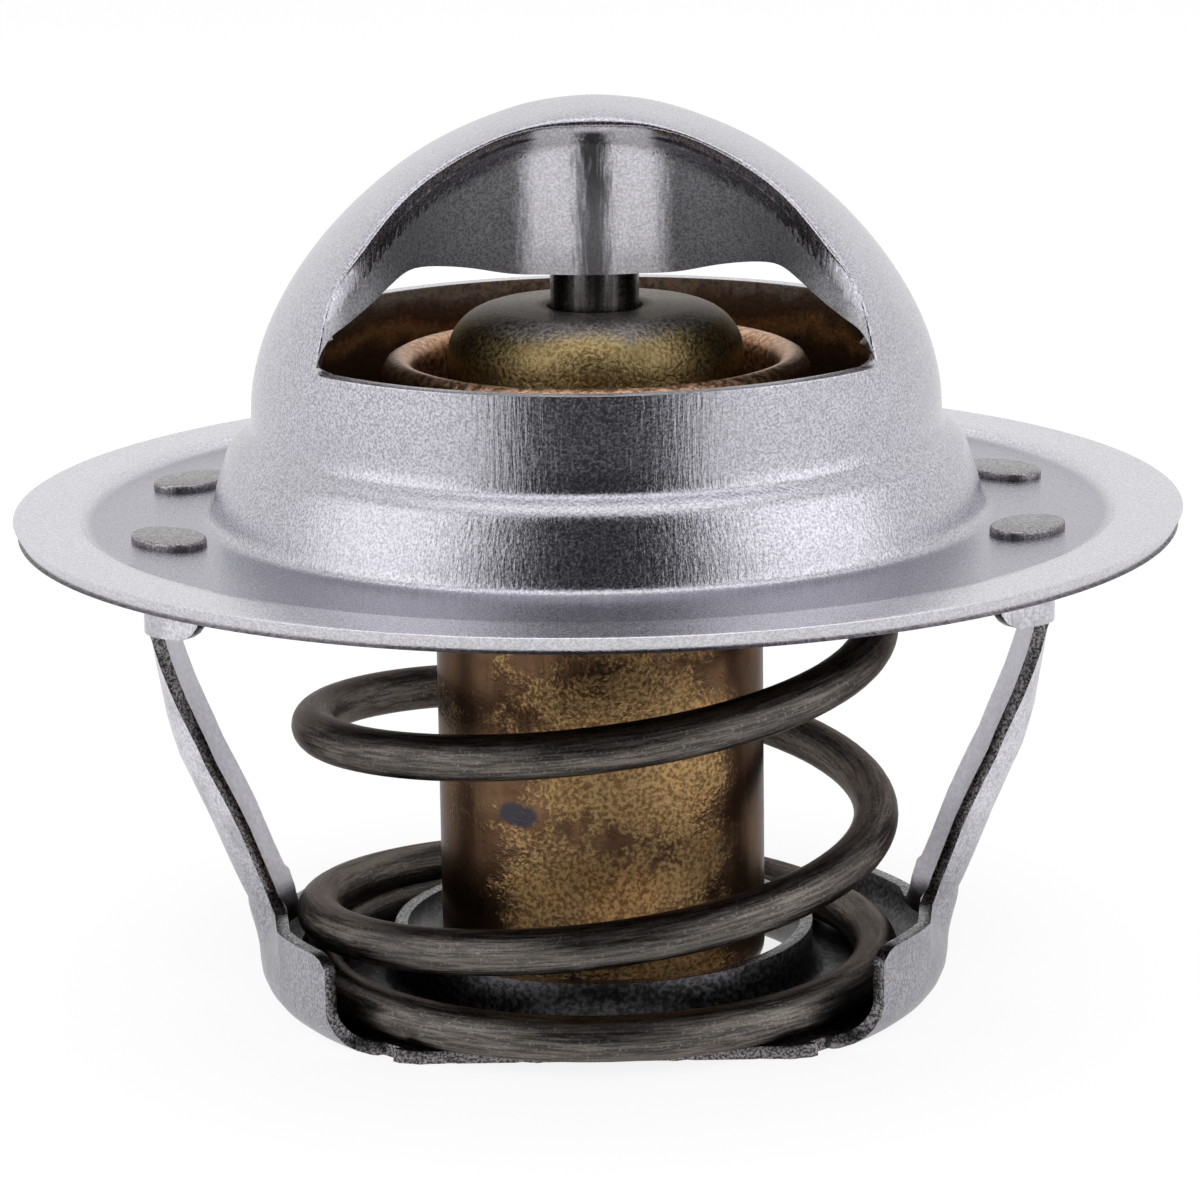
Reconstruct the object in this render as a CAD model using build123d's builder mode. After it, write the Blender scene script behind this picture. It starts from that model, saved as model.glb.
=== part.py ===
from build123d import *
from math import cos, hypot, pi, radians, sin, tan
import os

# Wax-element engine thermostat: a stamped flange with an arched bridge, a fixed piston,
# a wax capsule carrying the poppet valve disc, a return spring and a stamped lower frame.
# Millimetres, +Z up along the valve axis. The origin is the centre of the foot's underside.
# The valve is shut: the element slides down (-Z) off its seat to open.

os.makedirs("parts", exist_ok=True)

# ---------------------------------------------------------------- driving dimensions
# sheet stock and running clearances
bridge_sheet = 0.75     # stainless sheet of the flange, neck and bridge
frame_sheet = 0.6       # stainless sheet of the lower frame
disc_sheet = 0.7        # copper sheet of the valve disc
guide_gap = 0.05        # piston to guide and boot, all round
piston_fit = 0.02       # piston to the pocket that grips it, all round
seat_gap = 0.04         # shut valve disc to its seat
crimp_gap = 0.05        # lip of the capsule's crimp to the guide's dome
slot_gap = 0.06         # frame tongue to its slot, all round
spring_seat_gap = 0.02  # each end of the spring to its seat
valve_lift = 8.0        # full opening stroke

# flange and neck, heights from the rim's top face
rim_top = 23.6          # rim's top face above the foot
rim_radius = 27.0
rim_width = 2.9         # raised sealing land
rim_joggle = 0.42       # drop from the land to the inner flat
neck_foot_flare = 0.6   # widening of the neck's lower step towards its foot
neck_foot_bend = 0.5
shoulder_width = 1.2    # step out from the upper neck
shoulder_height = 2.9
shoulder_rise = 0.72
shoulder_bend = 0.85
joggle_bend = 0.25
neck_radius = 15.95
neck_height = 7.85      # sill of the two windows

# bridge, heights from the rim's top face
arch_height = 18.65     # crown
arch_spring_height = 4.6  # where the ends of the arch leave the neck's cylinder
arch_power = 1.75       # 2 would be a half ellipse
strap_half_width = 5.5  # at the crown
strap_flare = 4.6       # extra half width at the window corners
strap_edge = 1.1        # rounding of the strap's long edges
skirt_face = 1.45       # outer face of the pinched skirts, from the mid plane
window_half_width = 12.3
window_height = 3.4     # clear height from the sill to the skirts
window_side = 1.2       # height of the window's upright ends
window_slant = 4.0      # width of its sloping upper corners
window_corner = 0.65
boss_radius = 3.1       # half-round pocket that holds the piston

# piston and wax element, heights from the rim's top face
piston_radius = 2.05
piston_tip_radius = 1.4
piston_taper = 6.0
guide_radius = 6.85
guide_height = 9.15     # flat top of the brass guide
guide_nose_radius = 4.8
guide_foot_rise = 0.2   # guide's lower face above the disc's underside
guide_stem_radius = 4.6
capsule_radius = 7.65
capsule_wall = 0.5
capsule_end = 1.2       # end of the capsule above the foot's underside
capsule_corner = 1.0
crimp_height = 5.0      # capsule's mouth, crimped over the guide's flange
boot_wall = 0.8
boot_flange = 1.0       # boot's flange, clamped under the guide
boot_tip = 4.0          # end of the boot above the capsule's floor
seal_thickness = 1.0
piston_reach = 16.0     # piston inside the boot, below its flange

# valve disc
seat_overlap = 0.65     # disc's edge outside the neck's bore
disc_land = 1.1         # flat edge that closes on the seat
disc_drop = 0.45        # spring's pan below that edge
collar_inner = 8.45     # folded collar of the disc
collar_height = 7.2     # its crest above the rim's top face
collar_foot_bend = 1.2

# return spring
wire_radius = 1.05
coil_radius = 13.1      # to the wire's centre
turn_height = 8.6       # rise of each open turn
closed_turns = 0.9      # at each end
ramp_turns = 0.5        # from a closed turn to the full pitch

# lower frame, heights from the foot's underside
dish_radius = 16.3
dish_height = 4.5
dish_bend = 1.4
strip_half_width = 10.35
plate_half_width = 11.5
plate_half_length = 9.9
eye_radius = 9.3        # drawn-up collar that the capsule passes through
eye_height = 3.15
leg_half_width = 2.7
leg_crown = 5.0         # radius of the leg's gutter-shaped section
leg_setback = 0.12      # leg's outer face behind the dish's and the head's
head_radius = 20.9      # outer face of the leg's head, from the axis
head_depth = 3.9        # head below the flange
head_corner = 1.8
ear_start = 4.7
ear_length = 3.9
ear_angle = 53.0        # ears folded inwards
ear_bend = 1.6
tongue_width = 2.9
stake_length = 4.3
stake_width = 3.0
stake_height = 0.34

# ---------------------------------------------------------------- levels and seats
flat_top = rim_top - rim_joggle
flat_underside = flat_top - bridge_sheet
shoulder_z = rim_top + shoulder_height
step_top_z = shoulder_z + shoulder_rise
sill_z = rim_top + neck_height
crown_z = rim_top + arch_height
window_top_z = sill_z + window_height
arch_spring_z = rim_top + arch_spring_height
guide_top_z = rim_top + guide_height
crimp_z = rim_top + crimp_height
collar_top_z = rim_top + collar_height

shoulder_radius = neck_radius + shoulder_width
neck_foot_radius = shoulder_radius + neck_foot_flare

# the seat is the underside of the sloping shoulder between the neck's two steps
disc_radius = neck_radius - bridge_sheet + seat_overlap
shoulder_slope = shoulder_rise / shoulder_width
shoulder_stretch = hypot(1, shoulder_slope)
seat_drop = (bridge_sheet + seat_gap) * shoulder_stretch
disc_top_z = step_top_z - shoulder_slope * (disc_radius - neck_radius) - seat_drop
disc_pan_z = disc_top_z - disc_drop
disc_underside_z = disc_pan_z - disc_sheet

# the piston's end meets the underside of the arch
pin_share = (piston_radius / (neck_radius - bridge_sheet)) ** arch_power
arch_inside = crown_z - arch_spring_z - bridge_sheet
pocket_top_z = arch_spring_z + arch_inside * (1 - pin_share) ** (1 / arch_power)
piston_top_z = pocket_top_z - piston_fit

# the ears stand square to these directions, one pair on each leg
head_middle = head_radius - frame_sheet / 2
tongue_x = head_middle - ear_length / 2 * cos(radians(ear_angle))
tongue_y = ear_start + ear_length / 2 * sin(radians(ear_angle))
tongues = [
    Location((x * tongue_x, y * tongue_y, 0), (0, 0, -x * y * ear_angle))
    for x in (-1, 1)
    for y in (-1, 1)
]


# ---------------------------------------------------------------- flange_bridge
# One stainless stamping. The flange, its raised land and the two-step neck are turned from
# one bent section. The bridge is a shell: its outer skin less the same form one sheet inside.
def strap_width(x):
    """Half width of the bridge's strap, in plan, at a distance x from the axis."""
    return strap_half_width + strap_flare * (x / window_half_width) ** 2


def arch_radius(angle, inset):
    """Reach of the bridge's superelliptic front outline from the centre of the arch."""
    across = abs(cos(radians(angle))) / (neck_radius - inset)
    up = abs(sin(radians(angle))) / (crown_z - arch_spring_z - inset)
    return (across**arch_power + up**arch_power) ** (-1 / arch_power)


def arch_point(angle, inset):
    reach = arch_radius(angle, inset)
    return (reach * cos(radians(angle)), arch_spring_z + reach * sin(radians(angle)))


# shares of the window's half width and of the crown's height, from the middle to the side
pinch_line = [(0, 0.9), (0.27, 0.866), (0.4, 0.828), (0.53, 0.76), (0.63, 0.62), (0.65, 0.43)]
crease_line = [(0, 0.955), (0.34, 0.936), (0.5, 0.89), (0.72, 0.79), (0.93, 0.61), (0.967, 0.43)]
press_start = 0.75 * neck_radius


def skirt_outline(depth, grow):
    """Outline of the recess that forms one skirt, at a depth from the mid plane."""
    right = []
    for nose, crease in zip(pinch_line, crease_line):
        crease_x = crease[0] * window_half_width
        share = (depth - skirt_face) / (strap_width(crease_x) - skirt_face)
        x = window_half_width * (nose[0] + (crease[0] - nose[0]) * share)
        z = arch_height * (nose[1] + (crease[1] - nose[1]) * share)
        right.append((x, rim_top + z))
    top_x, top_z = right[0]
    side_x, side_z = right[-1]
    right = [(x + grow * x / side_x, z + grow * (z - side_z) / (top_z - side_z)) for x, z in right]
    left = [(-x, z) for x, z in reversed(right)]
    Spline(left, tangents=[(0, 1), (1, 0)])
    Spline(right, tangents=[(1, 0), (0, -1)])
    Line(right[-1], left[0])


def bridge_form(inset, pocket_radius, pocket_end_z):
    """The bridge and the top of the neck as a solid, drawn in by the inset."""
    skin_radius = neck_radius - inset
    face = skirt_face - inset
    core = 2.0
    with BuildPart() as strap:
        for angle in range(0, 181, 15):
            reach = arch_radius(angle, inset)
            half_width = strap_width(reach * cos(radians(angle))) - inset
            outward = (cos(radians(angle)), 0, sin(radians(angle)))
            along = (-sin(radians(angle)), 0, cos(radians(angle)))
            with BuildSketch(Plane((0, 0, arch_spring_z), x_dir=outward, z_dir=along)):
                with Locations(((reach + core) / 2, 0)):
                    RectangleRounded(reach - core, 2 * half_width, strap_edge - 0.8 * inset)
        loft()
        with BuildSketch(Plane.XY.offset(arch_spring_z)):
            Circle(skin_radius)
        extrude(amount=arch_height, mode=Mode.INTERSECT)
        # the skirts are pressed in from the front and the rear
        for facing in (Plane.XZ, Plane.XZ.rotated((0, 0, 180))):
            with BuildSketch(facing.offset(face)):
                with BuildLine():
                    skirt_outline(skirt_face, inset)
                make_face()
            with BuildSketch(facing.offset(press_start)):
                with BuildLine():
                    skirt_outline(press_start, inset)
                make_face()
            loft(ruled=True, mode=Mode.SUBTRACT)
        # half-round pocket for the piston
        with BuildSketch(Plane.XY.offset(window_top_z)):
            Circle(pocket_radius)
        extrude(amount=pocket_end_z - window_top_z)
    with BuildPart() as form:
        with BuildSketch(Plane.XZ):
            with BuildLine():
                skin = [arch_point(angle, inset) for angle in range(0, 181, 15)]
                Spline(skin, tangents=[(0, 1), (0, -1)])
                Line(skin[-1], skin[0])
            make_face()
        extrude(amount=neck_radius, both=True)
        with BuildSketch(Plane.XY.offset(arch_spring_z)):
            Circle(skin_radius)
        extrude(amount=sill_z - arch_spring_z, mode=Mode.INTERSECT)
        add(strap.part)
    return form.part


with BuildPart() as flange_bridge:
    with BuildSketch(Plane.XZ):
        with BuildLine():
            FilletPolyline(
                (rim_radius, rim_top),
                (rim_radius - rim_width, rim_top),
                (rim_radius - rim_width - rim_joggle, flat_top),
                (neck_foot_radius, flat_top),
                (shoulder_radius, shoulder_z),
                (neck_radius, step_top_z),
                (neck_radius, arch_spring_z),
                radius=(joggle_bend, joggle_bend, neck_foot_bend, shoulder_bend, neck_foot_bend),
            )
            offset(amount=bridge_sheet, side=Side.LEFT, kind=Kind.INTERSECTION)
        make_face()
    revolve(axis=Axis.Z)
    add(bridge_form(0, boss_radius, crown_z - strap_edge))
    pocket = bridge_form(bridge_sheet, piston_radius + piston_fit, pocket_top_z)
    add(pocket, mode=Mode.SUBTRACT)
    with BuildSketch(Plane.XZ):
        with BuildLine():
            window_top_half = window_half_width - window_slant
            FilletPolyline(
                (-window_half_width, sill_z),
                (window_half_width, sill_z),
                (window_half_width, sill_z + window_side),
                (window_top_half, window_top_z),
                (-window_top_half, window_top_z),
                (-window_half_width, sill_z + window_side),
                radius=window_corner,
                close=True,
            )
        make_face()
    extrude(amount=rim_radius, both=True, mode=Mode.SUBTRACT)
    # slots for the lower frame's four tongues
    with BuildSketch(Plane.XY.offset(flat_underside)):
        with Locations(tongues):
            Rectangle(tongue_width + 2 * slot_gap, frame_sheet + 2 * slot_gap)
    extrude(amount=bridge_sheet, mode=Mode.SUBTRACT)
flange_bridge.part.label = "flange_bridge"
export_step(flange_bridge.part, "parts/flange_bridge.step")

# ---------------------------------------------------------------- piston
# Hardened steel pin, gripped in the bridge's pocket against the crown. Its tapered tip
# reaches down into the rubber boot.
boot_flange_top_z = disc_underside_z + guide_foot_rise
boot_flange_z = boot_flange_top_z - boot_flange
piston_tip_z = boot_flange_z - piston_reach

with BuildPart() as piston:
    with BuildSketch(Plane.XZ):
        with BuildLine():
            Polyline(
                (0, piston_top_z),
                (piston_radius, piston_top_z),
                (piston_radius, piston_tip_z + piston_taper),
                (piston_tip_radius, piston_tip_z),
                (0, piston_tip_z),
                close=True,
            )
        make_face()
    revolve(axis=Axis.Z)
    chamfer(piston.edges().filter_by(GeomType.CIRCLE).sort_by(Axis.Z)[-1], 0.25)
piston.part.label = "piston"
export_step(piston.part, "parts/piston.step")

# ---------------------------------------------------------------- element_guide
# Turned brass guide: the dome above the valve, a flange under the capsule's crimp and a
# stem inside it, all bored for the piston.
capsule_inside = capsule_radius - capsule_wall
guide_bore = piston_radius + guide_gap
crimp_under_z = crimp_z - capsule_wall

with BuildPart() as element_guide:
    with BuildSketch(Plane.XZ):
        with BuildLine():
            nose_z = guide_top_z - 0.95 * (guide_radius - guide_nose_radius)
            Line((guide_bore, boot_flange_top_z), (capsule_inside, boot_flange_top_z))
            Line((capsule_inside, boot_flange_top_z), (capsule_inside, crimp_under_z))
            Line((capsule_inside, crimp_under_z), (guide_radius, crimp_under_z))
            Line((guide_radius, crimp_under_z), (guide_radius, nose_z))
            Spline(
                (guide_radius, nose_z),
                (guide_nose_radius, guide_top_z),
                tangents=[(0, 1), (-1, 0.12)],
            )
            Line((guide_nose_radius, guide_top_z), (guide_bore, guide_top_z))
            Line((guide_bore, guide_top_z), (guide_bore, boot_flange_top_z))
        make_face()
    revolve(axis=Axis.Z)
    # counterbore for the back-up ring
    with BuildSketch(Plane.XY.offset(boot_flange_top_z)):
        Circle(guide_stem_radius)
    extrude(amount=seal_thickness, mode=Mode.SUBTRACT)
element_guide.part.label = "element_guide"
export_step(element_guide.part, "parts/element_guide.step")

# ---------------------------------------------------------------- seal_ring
# PTFE back-up ring round the piston, between the guide and the boot.
with BuildPart() as seal_ring:
    with BuildSketch(Plane.XY.offset(boot_flange_top_z)):
        Circle(guide_stem_radius)
        Circle(guide_bore, mode=Mode.SUBTRACT)
    extrude(amount=seal_thickness)
seal_ring.part.label = "seal_ring"
export_step(seal_ring.part, "parts/seal_ring.step")

# ---------------------------------------------------------------- wax_capsule
# Deep-drawn copper cup, its mouth crimped over the guide's flange.
with BuildPart() as wax_capsule:
    with BuildSketch(Plane.XZ):
        with BuildLine():
            FilletPolyline(
                (0, capsule_end),
                (capsule_radius, capsule_end),
                (capsule_radius, crimp_z),
                (guide_radius + crimp_gap, crimp_z),
                radius=(capsule_corner, 0.45),
            )
            offset(amount=capsule_wall, side=Side.LEFT, kind=Kind.INTERSECTION)
        make_face()
    revolve(axis=Axis.Z)
wax_capsule.part.label = "wax_capsule"
export_step(wax_capsule.part, "parts/wax_capsule.step")

# ---------------------------------------------------------------- rubber_boot
# Rubber sleeve with a closed end, clamped by its flange between the guide and the wax.
capsule_floor_z = capsule_end + capsule_wall
boot_tip_z = capsule_floor_z + boot_tip
boot_radius = guide_bore + boot_wall

with BuildPart() as rubber_boot:
    with BuildSketch(Plane.XZ):
        with BuildLine():
            Polyline(
                (0, boot_tip_z),
                (boot_radius, boot_tip_z),
                (boot_radius, boot_flange_z),
                (capsule_inside, boot_flange_z),
                (capsule_inside, boot_flange_top_z),
                (guide_bore, boot_flange_top_z),
                (guide_bore, piston_tip_z + piston_taper),
                (piston_tip_radius + guide_gap, piston_tip_z - guide_gap),
                (0, piston_tip_z - guide_gap),
                close=True,
            )
        make_face()
    revolve(axis=Axis.Z)
rubber_boot.part.label = "rubber_boot"
export_step(rubber_boot.part, "parts/rubber_boot.step")

# ---------------------------------------------------------------- wax_charge
# Wax with copper powder, cast round the boot and filling the capsule.
with BuildPart() as wax_charge:
    with BuildSketch(Plane.XY.offset(capsule_floor_z)):
        Circle(capsule_inside)
    extrude(amount=boot_flange_z - capsule_floor_z)
    fillet(wax_charge.edges().sort_by(Axis.Z)[0], capsule_corner - capsule_wall)
    with BuildSketch(Plane.XY.offset(boot_tip_z)):
        Circle(boot_radius)
    extrude(amount=boot_flange_z - boot_tip_z, mode=Mode.SUBTRACT)
wax_charge.part.label = "wax_charge"
export_step(wax_charge.part, "parts/wax_charge.step")

# ---------------------------------------------------------------- valve_disc
# Copper stamping pressed on the capsule: a flat edge that closes on the seat, a pan for
# the spring and a collar folded back on itself.
collar_outer = collar_inner + 2 * disc_sheet

with BuildPart() as valve_disc:
    with BuildSketch(Plane.XZ):
        with BuildLine():
            land_inner = disc_radius - disc_land
            pan_outer = land_inner - disc_drop
            FilletPolyline(
                (capsule_radius, disc_underside_z),
                (pan_outer, disc_underside_z),
                (land_inner, disc_underside_z + disc_drop),
                (disc_radius, disc_underside_z + disc_drop),
                (disc_radius, disc_top_z),
                (land_inner, disc_top_z),
                (pan_outer, disc_pan_z),
                (collar_outer, disc_pan_z),
                (collar_outer, collar_top_z),
                (collar_inner, collar_top_z),
                (collar_inner, disc_pan_z),
                (capsule_radius, disc_pan_z),
                radius=(0.1, 0.1, 0.1, 0.1, 0.1, 0.1, collar_foot_bend, 0.65, 0.65, 0.3),
            )
            Line((capsule_radius, disc_pan_z), (capsule_radius, disc_underside_z))
        make_face()
    revolve(axis=Axis.Z)
valve_disc.part.label = "valve_disc"
export_step(valve_disc.part, "parts/valve_disc.step")

# ---------------------------------------------------------------- main_spring
# Round-wire compression spring between the frame's plate and the valve disc. Each end has
# a closed turn, and the pitch grows from it over half a turn.
coil_bottom_z = frame_sheet + wire_radius + spring_seat_gap
coil_top_z = disc_underside_z - wire_radius - spring_seat_gap
rising_turns = (coil_top_z - coil_bottom_z) / turn_height + ramp_turns


def coil_height(turn):
    """Wire's height above the lower closed turn, after some turns from its end."""
    risen = min(max(turn - closed_turns, 0), rising_turns)
    height = turn_height * (risen - ramp_turns / 2)
    if risen < ramp_turns:
        height = turn_height * risen**2 / (2 * ramp_turns)
    left = rising_turns - risen
    if left < ramp_turns:
        height -= turn_height * (ramp_turns - left) ** 2 / (2 * ramp_turns)
    return height


coil_turns = rising_turns + 2 * closed_turns
coil_steps = round(12 * coil_turns)
coil_points = []
for step in range(coil_steps + 1):
    turn = coil_turns * step / coil_steps
    angle = 2 * pi * (turn - closed_turns)
    z = coil_bottom_z + coil_height(turn)
    coil_points.append((coil_radius * cos(angle), coil_radius * sin(angle), z))

with BuildPart() as main_spring:
    with BuildLine() as wire:
        Spline(coil_points)
    with BuildSketch(Plane(coil_points[0], z_dir=wire.line % 0)):
        Circle(wire_radius)
    sweep()
main_spring.part.label = "main_spring"
export_step(main_spring.part, "parts/main_spring.step")

# ---------------------------------------------------------------- lower_frame
# One deep-drawn stirrup: a plate with a drawn-up eye, a dish cut to a strip, two
# gutter-shaped legs and folded heads whose tongues are staked over on the flange.
head_z = flat_underside - head_depth
leg_foot_radius = dish_radius - leg_setback
leg_spread = head_radius - leg_setback - leg_foot_radius
leg_course = [(0, 0.14), (0.2, 0.28), (0.42, 0.41), (0.6, 0.51), (0.83, 0.64), (0.95, 0.79), (1, 1)]
half_sheet = frame_sheet / 2
ear_x = head_middle - ear_length * cos(radians(ear_angle)) + half_sheet * sin(radians(ear_angle))
ear_y = ear_start + ear_length * sin(radians(ear_angle)) + half_sheet * cos(radians(ear_angle))
bend_y = ear_start + half_sheet * tan(radians(90 - ear_angle) / 2)

with BuildPart() as lower_frame:
    with BuildSketch(Plane.XZ) as dish:
        with BuildLine():
            Polyline(
                (eye_radius, eye_height),
                (eye_radius, 0),
                (dish_radius, 0),
                (dish_radius, dish_height),
            )
            offset(amount=frame_sheet, side=Side.LEFT, kind=Kind.INTERSECTION)
        make_face()
        outside = dish.vertices().filter_by_position(Axis.Y, -half_sheet, half_sheet)
        inside = dish.vertices().filter_by_position(Axis.Y, half_sheet, 3 * half_sheet)
        fillet(outside, dish_bend)
        fillet(inside, dish_bend - frame_sheet)
    revolve(axis=Axis.Z)
    with BuildSketch():
        Rectangle(4 * dish_radius, 2 * strip_half_width)
        Rectangle(2 * plate_half_length, 2 * plate_half_width)
    extrude(amount=dish_height, mode=Mode.INTERSECT)
    for side in (-1, 1):
        # leg, swept up and outwards from the dish
        with BuildLine() as leg:
            rise = Spline(
                [
                    (side * (leg_foot_radius + out * leg_spread), 0, up * head_z)
                    for out, up in leg_course
                ],
                tangents=[(0, 0, 1), (0, 0, 1)],
            )
            Line(rise @ 1, rise @ 1 + Vector(0, 0, head_depth / 2))
        with BuildSketch(Plane(leg.line @ 0, x_dir=(side, 0, 0), z_dir=(0, 0, 1))):
            with Locations((-leg_crown, 0)):
                Circle(leg_crown)
                Circle(leg_crown - frame_sheet, mode=Mode.SUBTRACT)
            with Locations((-frame_sheet, 0)):
                Rectangle(leg_crown, 2 * leg_half_width, mode=Mode.INTERSECT)
        sweep(path=leg.line)
        # head with its two folded ears
        with BuildSketch(Plane.XY.offset(head_z)):
            with BuildLine():
                FilletPolyline(
                    (side * ear_x, -side * ear_y),
                    (side * head_radius, -side * bend_y),
                    (side * head_radius, side * bend_y),
                    (side * ear_x, side * ear_y),
                    radius=ear_bend,
                )
                offset(amount=frame_sheet, side=Side.LEFT, kind=Kind.INTERSECTION)
            make_face()
        extrude(amount=head_depth)
    ear_ends = [
        edge
        for edge in lower_frame.edges()
        if abs(edge.center().Z - head_z) < 0.01
        and abs(edge.center().Y) > tongue_y + tongue_width / 4
        and edge.length < 1.5 * frame_sheet
    ]
    fillet(ear_ends, head_corner)
    with BuildSketch(Plane.XY.offset(flat_underside)):
        with Locations(tongues):
            Rectangle(tongue_width, frame_sheet)
    extrude(amount=bridge_sheet)
    with BuildSketch(Plane.XY.offset(flat_top)):
        with Locations(tongues):
            Ellipse(stake_length / 2, stake_width / 2)
    extrude(amount=stake_height)
lower_frame.part.label = "lower_frame"
export_step(lower_frame.part, "parts/lower_frame.step")
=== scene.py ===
from math import asin, cos, exp, pi, radians, sin, sqrt, tau

import bpy
from mathutils import Matrix, Vector


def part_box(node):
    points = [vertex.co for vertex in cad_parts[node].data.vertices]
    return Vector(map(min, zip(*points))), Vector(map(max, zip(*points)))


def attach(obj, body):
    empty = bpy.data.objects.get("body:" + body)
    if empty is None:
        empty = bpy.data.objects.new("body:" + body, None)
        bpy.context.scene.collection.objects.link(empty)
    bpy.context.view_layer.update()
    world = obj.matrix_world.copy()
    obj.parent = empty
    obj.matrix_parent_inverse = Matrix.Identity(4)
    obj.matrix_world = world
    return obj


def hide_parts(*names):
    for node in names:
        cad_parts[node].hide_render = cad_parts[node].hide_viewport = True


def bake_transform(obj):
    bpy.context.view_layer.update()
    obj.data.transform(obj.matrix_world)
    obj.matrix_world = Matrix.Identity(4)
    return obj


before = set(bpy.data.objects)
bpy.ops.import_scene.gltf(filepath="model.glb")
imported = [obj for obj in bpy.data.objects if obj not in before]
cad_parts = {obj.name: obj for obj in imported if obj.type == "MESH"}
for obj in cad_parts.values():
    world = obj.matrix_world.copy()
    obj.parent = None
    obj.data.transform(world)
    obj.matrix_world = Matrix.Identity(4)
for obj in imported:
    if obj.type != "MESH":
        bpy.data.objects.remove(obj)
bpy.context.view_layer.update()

mm = 0.001
rim_top = 23.6 * mm  # top face of the flange's raised land, above the foot

# ---------------------------------------------------------------- studio
# A pale table under a white tent, which keeps the thermostat's shadow. Soft boxes stand left,
# right and above, one in front lights only matt surfaces, and a dim screen hangs before it.
table_white = (0.86, 0.86, 0.87)
table_glow = 1.14  # the table's own light, where it is seen directly
glow_share = 0.72  # how much of its look is glow; the rest is lit, and takes the shadow
tent_glow = 0.62  # light of the tent on the object
screen_dark = (0.035, 0.035, 0.04)
screen_place = (0, -0.088, 0.046)
screen_width, screen_height = 0.092, 0.17


def add_node(tree, kind, inputs=None, **settings):
    """Adds a shader node. Inputs are values or other nodes' outputs, by name or number."""
    made = tree.nodes.new(kind)
    for key, value in settings.items():
        setattr(made, key, value)
    for key, value in (inputs or {}).items():
        if isinstance(value, bpy.types.NodeSocket):
            tree.links.new(value, made.inputs[key])
        else:
            made.inputs[key].default_value = value
    return made


def math_node(tree, operation, first, *others):
    """Arithmetic on values and sockets, from left to right."""
    for other in others or (0.0,):
        first = add_node(
            tree, "ShaderNodeMath", {0: first, 1: other}, operation=operation
        ).outputs[0]
    return first


def seen_directly(tree):
    """1 for rays that come from the camera, or from it by way of metal or glass."""
    path = add_node(tree, "ShaderNodeLightPath")
    rays = ("Is Camera Ray", "Is Glossy Ray", "Is Transmission Ray")
    return math_node(tree, "MAXIMUM", *(path.outputs[ray] for ray in rays))


bpy.ops.object.select_all(action="DESELECT")
world = bpy.data.worlds.new("tent")
bpy.context.scene.world = world
world.use_nodes = True
tent = world.node_tree
tent.nodes.clear()
tent_seen = add_node(tent, "ShaderNodeBackground", {"Color": (1, 1, 1, 1), "Strength": 1.0})
tent_light = add_node(tent, "ShaderNodeBackground", {"Color": (1, 1, 1, 1), "Strength": tent_glow})
tent_mix = add_node(
    tent,
    "ShaderNodeMixShader",
    {0: seen_directly(tent), 1: tent_light.outputs[0], 2: tent_seen.outputs[0]},
)
add_node(tent, "ShaderNodeOutputWorld", {"Surface": tent_mix.outputs[0]})

bpy.ops.mesh.primitive_plane_add(size=6.0, location=(0, 0, 0))
table = bpy.context.object
table.name = "table"
table_top = bpy.data.materials.new("table_top")
table_top.use_nodes = True
tree = table_top.node_tree
tree.nodes.clear()
lit = add_node(tree, "ShaderNodeBsdfDiffuse", {"Color": (*table_white, 1)})
glow = add_node(tree, "ShaderNodeEmission", {"Color": (1, 1, 1, 1), "Strength": table_glow})
share = math_node(tree, "MULTIPLY", seen_directly(tree), glow_share)
both = add_node(tree, "ShaderNodeMixShader", {0: share, 1: lit.outputs[0], 2: glow.outputs[0]})
add_node(tree, "ShaderNodeOutputMaterial", {"Surface": both.outputs[0]})
table.data.materials.append(table_top)


def soft_box(name, place, aim, width, height, power, glossy=True):
    """A rectangular lamp that faces a point. If it isn't glossy, only matt surfaces show it."""
    bpy.ops.object.light_add(type="AREA", location=place)
    lamp = bpy.context.object
    lamp.name = name
    lamp.data.shape = "RECTANGLE"
    lamp.data.size = width
    lamp.data.size_y = height
    lamp.data.energy = power
    lamp.rotation_euler = (Vector(aim) - Vector(place)).to_track_quat("-Z", "Y").to_euler()
    lamp.visible_glossy = glossy


middle = (0, 0, 0.022)
soft_box("left_box", (-0.34, -0.14, 0.14), middle, 0.3, 0.4, 0.27)
soft_box("right_box", (0.34, -0.14, 0.14), middle, 0.3, 0.4, 0.27)
soft_box("top_box", (0, 0.06, 0.46), middle, 0.5, 0.4, 0.42)
soft_box("front_fill", (0, -0.4, 0.06), middle, 0.5, 0.1, 1.9, glossy=False)

# the screen is a card that only shows in reflections
bpy.ops.mesh.primitive_plane_add(size=1.0, location=(0, 0, 0))
screen = bpy.context.object
screen.name = "front_screen"
screen.data.transform(
    Matrix.Translation(screen_place)
    @ Matrix.Rotation(pi / 2, 4, "X")
    @ Matrix.Diagonal((screen_width, screen_height, 1, 1))
)
screen_paint = bpy.data.materials.new("front_screen")
screen_paint.use_nodes = True
tree = screen_paint.node_tree
tree.nodes.clear()
dull = add_node(tree, "ShaderNodeEmission", {"Color": (*screen_dark, 1), "Strength": 1.0})
add_node(tree, "ShaderNodeOutputMaterial", {"Surface": dull.outputs[0]})
screen.data.materials.append(screen_paint)
screen.visible_camera = False
screen.visible_shadow = False
screen.visible_diffuse = False

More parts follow.
